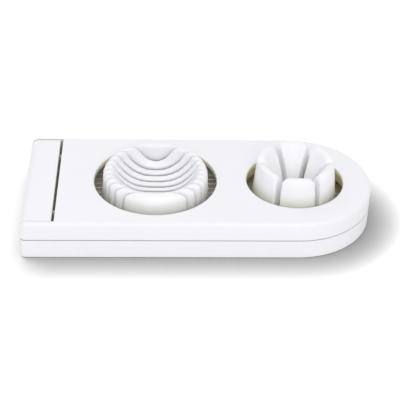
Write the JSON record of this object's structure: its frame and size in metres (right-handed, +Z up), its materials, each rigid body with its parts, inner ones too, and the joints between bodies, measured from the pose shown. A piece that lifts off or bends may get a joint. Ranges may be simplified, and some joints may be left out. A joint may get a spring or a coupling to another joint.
{
  "type": "egg_slicer",
  "caption": "Egg slicer with a hinged lid strung with steel wires: a ribbed bowl that slices a lying egg and a crown of petals that cuts a standing egg into wedges.",
  "frame": {"origin": "On the table, under the middle of the base's length and width.", "axes": "+X runs from the hinge end to the round end, +Y to the back, and +Z up. The lid is closed at rest."},
  "size_m": [0.1746, 0.0784, 0.0326],
  "materials": {
    "white_plastic": "satin",
    "stainless_steel": "drawn"
  },
  "bodies": {
    "base": {"base_tray": "white_plastic", "slicing_bed": "white_plastic", "wedge_bed": "white_plastic", "hinge_rod": "stainless_steel"},
    "lid": {"lid": "white_plastic", "wire_rail_left": "white_plastic", "wire_rail_right": "white_plastic", "wedge_wire_ring": "white_plastic", "slicing_wire_01": "stainless_steel", "slicing_wire_02": "stainless_steel", "slicing_wire_03": "stainless_steel", "slicing_wire_04": "stainless_steel", "slicing_wire_05": "stainless_steel", "slicing_wire_06": "stainless_steel", "slicing_wire_07": "stainless_steel", "slicing_wire_08": "stainless_steel", "slicing_wire_09": "stainless_steel", "slicing_wire_10": "stainless_steel", "slicing_wire_11": "stainless_steel", "wedge_wire_1": "stainless_steel", "wedge_wire_2": "stainless_steel", "wedge_wire_3": "stainless_steel"}
  },
  "joints": [
    {"name": "lid_hinge", "type": "hinge", "parent": "base", "child": "lid", "pos_m": [-0.0833, 0, 0.0164], "axis": [0, -1, 0], "range_deg": [0, 110]}
  ]
}
